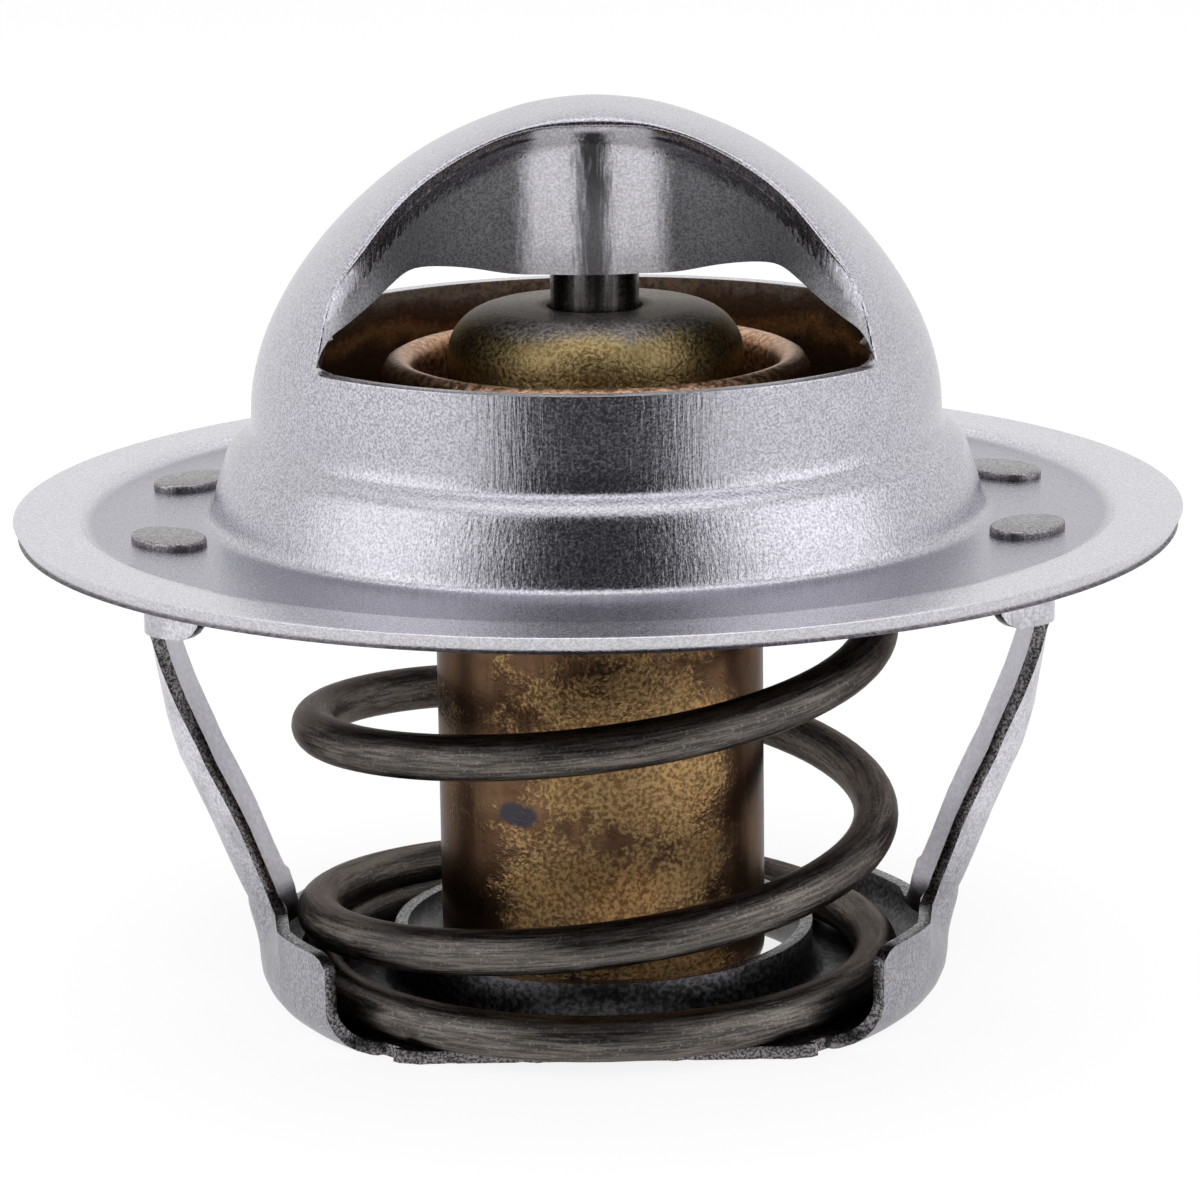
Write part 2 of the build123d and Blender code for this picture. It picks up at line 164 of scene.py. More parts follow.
camera_lens = 136.7
camera_place = (0.04 * mm, -207 * mm, 68.4 * mm)
camera_tilt = 0.2356  # below level, in radians
camera_roll = 0.0145
camera_data = bpy.data.cameras.new("camera")
camera_data.sensor_width = 36
camera_data.lens = camera_lens
camera = bpy.data.objects.new("camera", camera_data)
bpy.context.scene.collection.objects.link(camera)
camera.matrix_world = (
    Matrix.Translation(camera_place)
    @ Matrix.Rotation(pi / 2 - camera_tilt, 4, "X")
    @ Matrix.Rotation(-camera_roll, 4, "Z")
)
bpy.context.scene.camera = camera
bpy.context.scene.view_settings.view_transform = "Standard"

# ---------------------------------------------------------------- flange_bridge
# Flange, neck and arched bridge in one stainless stamping. It was deep drawn, its windows
# were cut, and the skirts of the bridge were pinched in to grip the piston. Then it was
# tumbled, which left a fine satin speckle over the upright draw marks.
bridge_sheet = 0.75 * mm
ring_steps = 120
neck_radius = 15.95 * mm
arch_foot = 4.6 * mm  # above the rim, where the arch leaves the neck's cylinder
arch_crown = 18.48 * mm
arch_power = 1.78
corner_angle = 39  # where the window's corner stands on the neck, from the side
boss_reach = 1.05 * mm  # how far the piston's pocket stands out of the web
boss_width = 1.9 * mm
web_depth = 2.1 * mm
soft = 0.35 * mm  # how gently the web runs into the pocket
across_count = corner_angle * ring_steps // 360  # points across half the strap
skirt_count = 12  # points down a skirt
edge_crowding = 1.7  # draws the strap's points towards its edge
crowded_to, even_run = 11, 4.2  # from there to the corner the points grow even
lip_turn = Vector((0, 0.12, -0.25)) * mm  # from the strap's edge to its lip's outer corner
fold_turn = Vector((0, 0.12, 0.1)) * mm  # softens the fold at the lip's foot
thin_share = 0.75  # of the sheet's thickness, drawn off round the lip
lip_start, lip_end, lip_fade = 0.08, 0.62, 0.2  # shares of the way down a skirt
corner_top, corner_fade = rim_top + 11 * mm, 1.2 * mm

# outer skin of the flange and of the stepped neck: radius and height above the rim
skin = [
    (27.0, -0.04), (26.94, 0), (26.7, 0), (24.2, 0), (24.0, -0.04), (23.72, -0.38), (23.5, -0.42),
    (21.0, -0.42), (18.7, -0.42), (18.15, -0.38), (17.9, -0.15), (17.8, 0.25), (17.67, 1.05),
    (17.39, 1.77), (17.22, 2.3), (17.1, 2.68), (16.88, 3.02), (16.5, 3.3), (16.27, 3.43),
    (16.08, 3.58), (15.99, 3.82), (15.95, 4.15),
]
neck_rows = [5.1, 5.8, 6.5, 7.2, 7.7, 7.85]

# cross-sections of the bridge from its crown to the window's corner: the distance from the
# axis on the mid plane, then the strap's edge and the fold at the foot of its lip, as
# (x, y, height), then the lower edge of the skirt
sections = [
    (0.0, (0.0, -4.15, 17.95), (0.0, -3.7, 17.0), (0.0, -3.15, 11.0)),
    (1.5, (1.5, -4.16, 17.92), (1.5, -3.5, 16.9), (1.5, -2.7, 10.95)),
    (2.4, (2.4, -4.22, 17.85), (2.35, -3.2, 16.75), (2.3, -2.4, 10.92)),
    (3.2, (3.15, -4.35, 17.7), (3.1, -2.95, 16.5), (3.05, -2.2, 10.9)),
    (4.5, (4.23, -4.5, 17.42), (4.15, -3.0, 15.95), (4.1, -2.15, 10.97)),
    (6.2, (5.93, -5.0, 16.65), (5.65, -3.5, 15.2), (5.5, -2.4, 11.25)),
    (8.0, (7.64, -5.9, 15.63), (7.2, -4.6, 14.4), (6.97, -3.2, 11.5)),
    (9.6, (8.94, -7.0, 14.52), (8.5, -6.0, 13.4), (8.18, -4.6, 11.65)),
    (11.3, (10.22, -8.1, 13.0), (9.75, -7.5, 12.15), (9.0, -6.6, 11.3)),
    (12.8, (11.3, -9.05, 11.75), (10.75, -8.75, 11.1), (9.82, -8.2, 10.72)),
    (13.9, (11.8, -9.7, 10.6), (11.45, -9.45, 10.25), (10.95, -9.2, 9.9)),
    (14.6, (12.05, -9.9, 9.6), (11.85, -9.8, 9.55), (11.6, -9.7, 9.5)),
    (15.0, (12.2, -9.98, 8.8), (12.15, -9.96, 8.8), (12.05, -9.9, 8.8)),
    (15.27, (12.4, -10.03, 7.85), (12.4, -10.03, 7.85), (12.4, -10.03, 7.85)),
]
strap_rows = [
    0, 0.5, 1.0, 1.5, 2.0, 2.5, 3.0, 3.5, 4.2, 5.0, 5.9, 6.8, 7.7, 8.6, 9.5, 10.3, 11.1, 11.8,
    12.5, 13.1, 13.6, 14.0, 14.35, 14.65, 14.9, 15.1,
]


def between(rows, place, part):
    """A smooth curve through one column of a table, at a place along its first column."""
    last = len(rows) - 1
    step = max(i for i in range(last) if rows[i][0] <= place or i == 0)
    x1, x2 = rows[step][0], rows[step + 1][0]
    p1, p2 = Vector(rows[step][part]), Vector(rows[step + 1][part])
    before = after = (p2 - p1) / (x2 - x1)
    if step > 0:
        before = (p2 - Vector(rows[step - 1][part])) / (x2 - rows[step - 1][0])
    if step + 2 <= last:
        after = (Vector(rows[step + 2][part]) - p1) / (rows[step + 2][0] - x1)
    h = x2 - x1
    t = (place - x1) / h
    return (
        p1 * (2 * t**3 - 3 * t**2 + 1)
        + before * (h * (t**3 - 2 * t**2 + t))
        + p2 * (3 * t**2 - 2 * t**3)
        + after * (h * (t**3 - t**2))
    )


def spline_point(points, t):
    """A point on the clamped quadratic B-spline over a control polygon."""
    spans = len(points) - 2
    place = min(t * spans, spans - 1e-9)
    i = int(place)
    u = place - i
    a = points[0] if i == 0 else (points[i] + points[i + 1]) / 2
    b = points[i + 1]
    c = points[-1] if i == spans - 1 else (points[i + 1] + points[i + 2]) / 2
    return a * (1 - u) ** 2 + b * (2 * u * (1 - u)) + c * u * u


def arch_z(x):
    """Height of the bridge's middle line above the rim, at a distance from the axis."""
    share = 1 - (x / neck_radius) ** arch_power
    return arch_foot + (arch_crown - arch_foot) * share ** (1 / arch_power)


def arch_x(z):
    share = max(z - arch_foot, 0) / (arch_crown - arch_foot)
    return neck_radius * (1 - share**arch_power) ** (1 / arch_power)


def strap_line(ridge, edge, flat):
    """Points across half the strap, from its middle line to its rounded edge."""
    line = []
    bow_edge = sqrt(1 - (edge.y / neck_radius) ** 2)
    for j in range(across_count + 1):
        t = j / across_count
        t = t * flat + (1 - (1 - t) ** edge_crowding) * (1 - flat)
        y = edge.y * t
        bow = sqrt(1 - (y / neck_radius) ** 2)
        x = ridge.x * bow + (edge.x - ridge.x * bow_edge) * t * t
        drop = 1 - (1 - t**3) ** (1 / 3)
        line.append(Vector((x, y, ridge.z + (edge.z - ridge.z) * drop)))
    return line


def skirt_line(edge, fold, hem):
    """Points from the strap's edge, round its lip and down the pinched skirt."""
    reach = min((edge - hem).length / (6 * mm), 1)  # less than 1 near the window's corner
    lip = edge + lip_turn * reach
    corner = fold + fold_turn * reach
    polygon = [
        edge, lip, lip.lerp(fold, 0.3), lip.lerp(fold, 0.8), corner, corner.lerp(hem, 0.25), hem
    ]
    line = []
    for j in range(1, skirt_count + 1):
        point = spline_point(polygon, j / skirt_count)
        # the pocket that grips the piston bulges out of the web
        pocket = web_depth + boss_reach * exp(-((point.x / boss_width) ** 2))
        gap = -point.y - pocket
        if abs(gap) < soft:
            point.y = -(pocket + (gap + soft) ** 2 / (4 * soft)) if reach > 0.5 else point.y
        elif gap < 0:
            point.y = -pocket
        line.append(point)
    return line


rows = []
for height in [skin[-1][1]] + neck_rows[:-1]:
    z = height * mm
    line = []
    for j in range(across_count + 1):
        turn = radians(corner_angle * j / across_count)
        radius = neck_radius + (arch_x(z) - neck_radius) * (1 - (j / across_count) ** 2)
        line.append(Vector((radius * cos(turn), -radius * sin(turn), z)))
    rows.append(line)
for x in [sections[-1][0]] + strap_rows[::-1]:
    edge, fold, hem = (between(sections, x, part) * mm for part in (1, 2, 3))
    if x == 0:
        edge.x = fold.x = hem.x = 0
    ridge = Vector((x * mm, 0, arch_z(x * mm)))
    line = strap_line(ridge, edge, min(max((x - crowded_to) / even_run, 0), 1))
    if x < sections[-1][0]:
        line += skirt_line(edge, fold, hem)
    rows.append(line)

points, numbers, faces, depths = [], [], [], []
for line in rows:
    numbers.append(list(range(len(points), len(points) + len(line))))
    points += line
    depths += [max(j - across_count, 0) / skirt_count for j in range(len(line))]
for low, high in zip(numbers, numbers[1:]):
    for j in range(len(high) - 1):
        if j + 1 < len(low):
            faces.append((low[j], low[j + 1], high[j + 1], high[j]))
        elif len(low) < len(high):
            faces.append((low[-1], high[j + 1], high[j]))
bridge_mesh = bpy.data.meshes.new("flange_and_bridge")
bridge_mesh.from_pydata([p + Vector((0, 0, rim_top)) for p in points], [], faces)
bridge_mesh.attributes.new("skirt", "FLOAT", "POINT").data.foreach_set("value", depths)
strap = bpy.data.objects.new("bridge_strap", bridge_mesh)
bpy.context.scene.collection.objects.link(strap)


def only(piece):
    """Selects one piece and makes it active, in object mode."""
    bpy.ops.object.select_all(action="DESELECT")
    piece.select_set(True)
    bpy.context.view_layer.objects.active = piece


def apply_modifier(piece, kind, **settings):
    only(piece)
    made = piece.modifiers.new(kind.lower(), kind)
    for key, value in settings.items():
        setattr(made, key, value)
    bpy.ops.object.modifier_apply(modifier=made.name)


def smooth(degrees):
    bpy.ops.object.shade_smooth_by_angle(angle=radians(degrees))


def pick_points(piece, test):
    """Selects the points of a piece that pass a test, and goes to edit mode."""
    only(piece)
    bpy.ops.object.mode_set(mode="EDIT")
    bpy.ops.mesh.select_all(action="DESELECT")
    bpy.ops.mesh.select_mode(type="VERT")
    bpy.ops.object.mode_set(mode="OBJECT")
    for point in piece.data.vertices:
        point.select = test(point.co)
    bpy.ops.object.mode_set(mode="EDIT")
    bpy.ops.mesh.select_mode(type="VERT")


def extrude(x, y, z):
    bpy.ops.mesh.extrude_region_move(TRANSFORM_OT_translate={"value": (x, y, z)})


def from_level(level, *pairs):
    """Outline points from radii and heights in millimetres, with heights above a level."""
    return [(radius * mm, level + height * mm) for radius, height in pairs]


def turned(name, outline, steps=128):
    """A sheet or bar turned about the valve's axis, from (radius, height) pairs."""
    radius, height = outline[0]
    bpy.ops.object.select_all(action="DESELECT")
    bpy.ops.mesh.primitive_circle_add(vertices=steps, radius=radius, location=(0, 0, 0))
    piece = bpy.context.object
    piece.name = name
    piece.data.transform(Matrix.Translation((0, 0, height)))
    bpy.ops.object.mode_set(mode="EDIT")
    bpy.ops.mesh.select_all(action="SELECT")
    for next_radius, next_height in outline[1:]:
        extrude(0, 0, next_height - height)
        grow = next_radius / radius
        bpy.ops.transform.resize(value=(grow, grow, 1), center_override=(0, 0, next_height))
        radius, height = next_radius, next_height
    bpy.ops.object.mode_set(mode="OBJECT")
    return piece


def merge(piece, threshold, close=False):
    """Merges doubled points, closes open ends if asked, and turns the faces outwards."""
    only(piece)
    bpy.ops.object.mode_set(mode="EDIT")
    bpy.ops.mesh.select_all(action="SELECT")
    bpy.ops.mesh.remove_doubles(threshold=threshold)
    if close:
        bpy.ops.mesh.select_all(action="SELECT")
        bpy.ops.mesh.fill_holes(sides=0)
        bpy.ops.mesh.select_all(action="SELECT")
    bpy.ops.mesh.normals_make_consistent(inside=False)
    bpy.ops.object.mode_set(mode="OBJECT")


flange_bridge = turned("flange_bridge_sheet", from_level(rim_top, *skin), ring_steps)
window_end = neck_radius * cos(radians(corner_angle)) + 0.02 * mm
neck_top = rim_top + skin[-1][1] * mm - 0.01 * mm
pick_points(flange_bridge, lambda p: abs(p.x) < window_end and p.z > neck_top)
for height, next_height in zip([skin[-1][1]] + neck_rows, neck_rows):
    extrude(0, 0, (next_height - height) * mm)
bpy.ops.object.mode_set(mode="OBJECT")

flange_bridge.data.attributes.new("skirt", "FLOAT", "POINT")
apply_modifier(strap, "MIRROR", use_axis=(True, True, False), merge_threshold=0.01 * mm)
only(flange_bridge)
strap.select_set(True)
bpy.ops.object.join()
merge(flange_bridge, 0.06 * mm)
apply_modifier(flange_bridge, "SUBSURF", levels=1, render_levels=1)
for _ in range(3):
    flange_bridge.data.materials.append(None)
# the sheet is drawn thin round the strap's lip, where it folds under itself, and at the
# window's corner it stays thin down to the hem
drawn = flange_bridge.vertex_groups.new(name="drawn")
for point, depth in zip(flange_bridge.data.vertices, flange_bridge.data.attributes["skirt"].data):
    at_corner = (corner_top - point.co.z) / corner_fade
    thin = min(max((lip_end - depth.value) / lip_fade, at_corner, 0), 1)
    thin *= min(max(depth.value / lip_start, 0), 1)
    drawn.add([point.index], 1 - thin_share * thin, "REPLACE")
apply_modifier(
    flange_bridge,
    "SOLIDIFY",
    thickness=bridge_sheet,
    vertex_group="drawn",
    offset=-1,
    material_offset=1,
    material_offset_rim=2,
)
apply_modifier(
    flange_bridge, "BEVEL", width=0.07 * mm, segments=2, angle_limit=radians(60), material=2
)
smooth(50)


def times(tree, *values):
    return math_node(tree, "MULTIPLY", *values)


def plus(tree, *values):
    return math_node(tree, "ADD", *values)


def stretched(tree, vector, scale):
    """A vector with each of its parts times a factor of its own."""
    made = add_node(tree, "ShaderNodeVectorMath", {0: vector, 1: scale}, operation="MULTIPLY")
    return made.outputs[0]


def length(tree, vector):
    return add_node(
        tree, "ShaderNodeVectorMath", {0: vector}, operation="LENGTH"
    ).outputs["Value"]


def noise(tree, vector, scale, detail, roughness=0.5):
    return add_node(
        tree,
        "ShaderNodeTexNoise",
        {"Vector": vector, "Scale": scale, "Detail": detail, "Roughness": roughness},
    ).outputs["Fac"]


def grain_group():
    """Fine marks of drawn and tumbled metal: speckle, upright streaks and soft clouds."""
    group = bpy.data.node_groups.new("metal_grain", "ShaderNodeTree")
    for name in ("Grain", "Streak", "Cloud"):
        group.interface.new_socket(name, in_out="INPUT", socket_type="NodeSocketFloat")
    for name in ("Speckle", "Streaks", "Clouds"):
        group.interface.new_socket(name, in_out="OUTPUT", socket_type="NodeSocketFloat")
    start = add_node(group, "NodeGroupInput")
    place = add_node(group, "ShaderNodeTexCoord").outputs["Object"]
    upright = stretched(group, place, (1, 1, 0.09))
    end = add_node(group, "NodeGroupOutput")
    for name, source, scale, detail in (
        ("Speckle", place, "Grain", 2.0),
        ("Streaks", upright, "Streak", 3.0),
        ("Clouds", place, "Cloud", 4.0),
    ):
        marks = noise(group, source, start.outputs[scale], detail, 0.6)
        group.links.new(marks, end.inputs[name])
    return group


metal_grain = grain_group()


def grain_marks(tree, grain, streak=0, cloud=0):
    """The grain group in a material, with the marks' sizes as counts to the metre."""
    marks = add_node(
        tree,
        "ShaderNodeGroup",
        {"Grain": grain, "Streak": streak, "Cloud": cloud},
        node_tree=metal_grain,
    )
    return marks.outputs["Speckle"], marks.outputs["Streaks"], marks.outputs["Clouds"]


def spread(tree, value, low, high, to_low=0.0, to_high=1.0):
    """Stretches a range of a value to a new range, clamped and eased."""
    made = add_node(
        tree,
        "ShaderNodeMapRange",
        {"Value": value, "From Min": low, "From Max": high, "To Min": to_low, "To Max": to_high},
        interpolation_type="SMOOTHSTEP",
    )
    return made.outputs["Result"]


def mix(tree, share, first, second):
    """A colour between two others, each a colour or a socket."""
    first, second = (c if isinstance(c, bpy.types.NodeSocket) else (*c, 1) for c in (first, second))
    made = add_node(tree, "ShaderNodeMix", {0: share, 6: first, 7: second}, data_type="RGBA")
    return made.outputs[2]


def new_finish(name, metallic=1.0, edge_tint=(1, 1, 1)):
    """A plain material. Its tint at glancing angles is dark where a film covers a metal."""
    made = bpy.data.materials.new(name)
    made.use_nodes = True
    shader = made.node_tree.nodes["Principled BSDF"]
    shader.inputs["Metallic"].default_value = metallic
    shader.inputs["Specular Tint"].default_value = (*edge_tint, 1)
    return made, made.node_tree


def worked(finish, colour, roughness, marks, depth, metallic=None):
    """A finish with its colour and roughness, and with marks of a depth, put on."""
    tree = finish.node_tree
    shader = tree.nodes["Principled BSDF"]
    relief = {"Height": marks, "Strength": 1.0, "Distance": depth}
    tree.links.new(colour, shader.inputs["Base Color"])
    tree.links.new(roughness, shader.inputs["Roughness"])
    tree.links.new(add_node(tree, "ShaderNodeBump", relief).outputs[0], shader.inputs["Normal"])
    if metallic is not None:
        tree.links.new(metallic, shader.inputs["Metallic"])
    return finish


def object_place(tree):
    """Object coordinates, and their x, y and z apart."""
    place = add_node(tree, "ShaderNodeTexCoord").outputs["Object"]
    return place, add_node(tree, "ShaderNodeSeparateXYZ", {0: place}).outputs


def axis_distance(tree, place):
    return length(tree, stretched(tree, place, (1, 1, 0)))


# dark and light flecks of each part of the outer skin, and what lies over them
satin = (0.31, 0.30, 0.335), (0.63, 0.62, 0.68)
land_rubbed = (0.56, 0.555, 0.59), (0.74, 0.735, 0.78)
web_bright = (0.40, 0.39, 0.42), (0.66, 0.65, 0.69)
web_shade = (0.07, 0.069, 0.075), (0.17, 0.168, 0.18)
satin_cloud = (0.40, 0.385, 0.41)
recess_shade = (0.26, 0.26, 0.31)
lip_shade = (0.15, 0.145, 0.155)
pocket_reflection_dark = (0.035, 0.034, 0.037)


def tumbled_steel():
    """Outer skin: pale satin, with painted shade in the flange's recess, on the web and under the
    lip.
    """
    metal, tree = new_finish("tumbled_steel")
    speckle, streaks, clouds = grain_marks(tree, 9000, 6500, 140)
    place, axes = object_place(tree)
    radius, height = axis_distance(tree, place), axes["Z"]
    side = math_node(tree, "ABSOLUTE", axes["X"])
    fleck = spread(tree, speckle, 0.3, 0.7)
    colour = mix(tree, fleck, *satin)
    colour = mix(tree, spread(tree, clouds, 0.42, 0.7, 0, 0.3), colour, satin_cloud)
    # painted shade: the flange's flat, sunk below the raised land, is darkened
    low = spread(tree, height, rim_top - 0.38 * mm, rim_top - 0.15 * mm, 0.6, 0)
    recess = times(tree, low, spread(tree, radius, 17.6 * mm, 18.6 * mm))
    colour = mix(tree, recess, colour, recess_shade)
    land = spread(tree, radius, 23.3 * mm, 23.9 * mm, 0, 0.8)
    colour = mix(tree, land, colour, mix(tree, fleck, *land_rubbed))

    # below a ragged line, the web is bright beside the pocket, and its flanks under the strap carry
    # painted shade
    skirt = add_node(tree, "ShaderNodeAttribute", attribute_name="skirt").outputs["Fac"]
    depth = plus(tree, skirt, spread(tree, streaks, 0.36, 0.64, -0.15, 0.15))
    middle = spread(tree, side, 2.2 * mm, 3.2 * mm, 1, 0)
    middle = times(tree, middle, spread(tree, skirt, 0, 0.1))
    web = math_node(tree, "MAXIMUM", spread(tree, depth, 0.5, 0.66), middle)
    flank = spread(tree, plus(tree, side, times(tree, streaks, mm)), 3 * mm, 4.3 * mm)
    flank = times(tree, flank, spread(tree, side, 10.6 * mm, 12.2 * mm, 1, 0.35))
    under = mix(tree, flank, mix(tree, fleck, *web_bright), mix(tree, fleck, *web_shade))
    colour = mix(tree, web, colour, under)
    # painted shade: a dark band with soft upright streaks just under the strap's lip
    under_lip_shade = times(
        tree,
        spread(tree, depth, 0.14, 0.3),
        spread(tree, depth, 0.5, 0.66, 1, 0),
        spread(tree, side, 2.4 * mm, 3.3 * mm),
        spread(tree, side, 10.2 * mm, 12.2 * mm, 0.75, 0.2),
    )
    colour = mix(tree, under_lip_shade, colour, lip_shade)

    # painted reflection: a dark, ragged stripe down the middle of the pocket's front
    ragged_side = plus(tree, side, times(tree, streaks, 1.4 * mm))
    dark_reflection_mask = times(
        tree,
        spread(tree, ragged_side, 0.9 * mm, 1.9 * mm, 1, 0),
        spread(tree, height, rim_top + 13 * mm, rim_top + 16.4 * mm, 0.86, 1),
        spread(tree, skirt, 0.1, 0.3),
    )
    colour = mix(tree, dark_reflection_mask, colour, pocket_reflection_dark)
    gloss = plus(tree, spread(tree, speckle, 0.3, 0.7, 0.19, 0.3), times(tree, web, 0.14))
    marks = plus(tree, times(tree, streaks, 2.0), times(tree, speckle, 0.6))
    metallic = spread(tree, web, 0, 1, 1, 0.55)
    return worked(metal, colour, gloss, marks, 0.011 * mm, metallic)


# stains of the bore, at shares of the 10 mm above the rim
band_height = 10 * mm
stain_bands = (
    (0.1, (0.10, 0.075, 0.06)), (0.45, (0.06, 0.038, 0.026)), (0.56, (0.12, 0.065, 0.035)),
    (0.62, (0.48, 0.25, 0.10)), (0.67, (0.15, 0.085, 0.05)), (0.74, (0.20, 0.145, 0.115)),
    (0.80, (0.42, 0.38, 0.37)),
)
stain_foot, stain_top = (0.24, 0.23, 0.25), (0.30, 0.28, 0.28)
stain_specks = (0.05, 0.035, 0.03)


def stained_bore():
    """Inner skin: coolant has stained the neck's bore in bands."""
    metal, tree = new_finish("stained_bore")
    speckle, streaks, clouds = grain_marks(tree, 3500, 4200, 260)
    _, axes = object_place(tree)
    waver = plus(tree, times(tree, clouds, 3.2 * mm), times(tree, streaks, 0.8 * mm), -1.6 * mm)
    share = add_node(
        tree,
        "ShaderNodeMapRange",
        {
            "Value": plus(tree, axes["Z"], waver),
            "From Min": rim_top,
            "From Max": rim_top + band_height,
        },
    )
    ramp = add_node(tree, "ShaderNodeValToRGB", {0: share.outputs[0]})
    bands = ramp.color_ramp.elements
    bands[0].color = (*stain_foot, 1)
    bands[1].color = (*stain_top, 1)
    for level, tint in stain_bands:
        bands.new(level).color = (*tint, 1)
    specks = spread(tree, speckle, 0.4, 0.7, 0, 0.6)
    colour = mix(tree, specks, ramp.outputs[0], stain_specks)
    return worked(metal, colour, spread(tree, speckle, 0.3, 0.7, 0.34, 0.5), speckle, 0.02 * mm)


def sheared_edge(name, light, dark):
    """Cut edge of a sheet: bright, with the drag lines of the punch."""
    metal, tree = new_finish(name)
    speckle, streaks, _ = grain_marks(tree, 8000, 3600)
    colour = mix(tree, spread(tree, speckle, 0.4, 0.62), dark, light)
    return worked(metal, colour, spread(tree, streaks, 0.3, 0.7, 0.25, 0.42), speckle, 0.02 * mm)


for slot, finish in enumerate((
    tumbled_steel(),
    stained_bore(),
    sheared_edge("flange_edge", (0.66, 0.65, 0.69), (0.50, 0.49, 0.52)),
)):
    flange_bridge.data.materials[slot] = finish
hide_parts("flange_bridge")
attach(flange_bridge, "root")

# ---------------------------------------------------------------- piston
# Ground steel pin, gripped by the bridge's pocket. It is dark from heat, with faint lines
# along it where the guide has rubbed.
piston_radius = 2.05
piston_low, piston_high = (corner.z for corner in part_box("piston"))


def close_ends(piece):
    merge(piece, 0.002 * mm, close=True)


piston = turned(
    "piston_pin",
    from_level(piston_low, (1.0, 0), (1.3, 0), (1.4, 0.1), (piston_radius, 6))
    + from_level(piston_high, (piston_radius, -0.25), (piston_radius - 0.25, 0), (1.0, 0)),
    64,
)
close_ends(piston)
smooth(35)

pin_steel = (0.11, 0.104, 0.102), (0.25, 0.238, 0.232)
pin_pits = (0.05, 0.045, 0.045)


def heat_darkened_pin():
    metal, tree = new_finish("heat_darkened_pin")
    speckle, streaks, _ = grain_marks(tree, 6000, 3200)
    colour = mix(tree, spread(tree, streaks, 0.35, 0.65), *pin_steel)
    colour = mix(tree, spread(tree, speckle, 0.58, 0.72, 0, 0.6), colour, pin_pits)
    return worked(metal, colour, spread(tree, speckle, 0.3, 0.7, 0.24, 0.36), streaks, 0.01 * mm)


piston.data.materials.append(heat_darkened_pin())
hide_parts("piston")
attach(piston, "root")

# ---------------------------------------------------------------- element_guide
# Turned brass guide over the wax capsule, bored for the pin. Its dome is blasted and has
# gone olive, with a greyer flat top.
guide_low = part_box("element_guide")[0].z
guide_top = rim_top + 9.15 * mm
guide_bore = 2.12
guide_radius = 6.83
guide_foot = 7.12


def quarter(start, end, steps, leaves_flat=True):
    """A quarter of an ellipse between two points of an outline, without its first point."""
    arc = []
    for step in range(1, steps + 1):
        turn = pi / 2 * step / steps
        out, up = (sin(turn), 1 - cos(turn)) if leaves_flat else (1 - cos(turn), sin(turn))
        arc.append((start[0] + (end[0] - start[0]) * out, start[1] + (end[1] - start[1]) * up))
    return arc


guide = turned(
    "guide_dome",
    from_level(guide_top, (guide_bore, -0.3), (2.25, -0.06), (2.45, -0.02), (3.4, 0))
    + from_level(guide_top, (4.5, -0.03), *quarter((4.5, -0.03), (guide_radius, -2.28), 12))
    + from_level(rim_top, (guide_radius, 5.02), (guide_radius, 4.55), (guide_foot, 4.45))
    + from_level(guide_low, (guide_foot, 0), (guide_bore, 0))
    + from_level(guide_top, (guide_bore, -0.3)),
)
close_ends(guide)
smooth(40)

olive_brass = (0.21, 0.145, 0.065), (0.47, 0.36, 0.17)
top_grey = (0.17, 0.16, 0.155), (0.36, 0.34, 0.33)
olive_cloud = (0.13, 0.11, 0.05)
bore_shade = (0.04, 0.035, 0.03)


def blasted_brass():
    metal, tree = new_finish("blasted_brass", edge_tint=(0.6, 0.57, 0.54))
    speckle, _, clouds = grain_marks(tree, 5600, cloud=320)
    place, axes = object_place(tree)
    flecks = spread(tree, speckle, 0.36, 0.64)
    colour = mix(tree, flecks, *olive_brass)
    colour = mix(tree, spread(tree, clouds, 0.45, 0.7, 0, 0.5), colour, olive_cloud)
    level = plus(tree, axes["Z"], times(tree, clouds, 0.9 * mm))
    dull = spread(tree, level, guide_top - 0.55 * mm, guide_top + 0.35 * mm)
    colour = mix(tree, dull, colour, mix(tree, flecks, *top_grey))
    near_pin = spread(tree, axis_distance(tree, place), 2.3 * mm, 2.9 * mm, 0.8, 0)
    colour = mix(tree, near_pin, colour, bore_shade)
    return worked(metal, colour, spread(tree, speckle, 0.3, 0.7, 0.36, 0.55), speckle, 0.05 * mm)


guide.data.materials.append(blasted_brass())
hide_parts("element_guide")
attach(guide, "element")

# ---------------------------------------------------------------- wax_capsule
# Drawn copper-alloy cup that holds the wax, crimped over the guide. Heat has left a smooth
# brown film on it, and where the film has gone the metal is pitted and golden.
capsule_low, capsule_high = (corner.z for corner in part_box("wax_capsule"))
capsule_radius = 7.64
cup_bend = 1.0
cup_bore = 7.13
flat_end = capsule_radius - cup_bend
capsule = turned(
    "capsule_cup",
    from_level(capsule_low, (0.8, 0), (flat_end, 0))
    + from_level(capsule_low, *quarter((flat_end, 0), (capsule_radius, cup_bend), 6))
    + from_level(capsule_high, (capsule_radius, -0.6), (7.5, -0.18), (7.2, -0.02), (6.9, -0.05))
    + from_level(capsule_high, (6.88, -0.5), (cup_bore, -0.55))
    + from_level(capsule_low, (cup_bore, 0.55), (0.8, 0.5)),
)
close_ends(capsule)
smooth(40)

heat_film = (0.085, 0.047, 0.027), (0.19, 0.11, 0.062)
pitted_gold = (0.17, 0.10, 0.045), (0.44, 0.285, 0.13)
pitted_orange = (0.20, 0.10, 0.04), (0.55, 0.33, 0.14)
film_streaks = (0.24, 0.125, 0.06)
flank_brown = (0.035, 0.021, 0.014)
scorch_blue = (0.04, 0.042, 0.055)
scorch_place = (-3.9 * mm, -6.5 * mm, rim_top - 13.4 * mm)


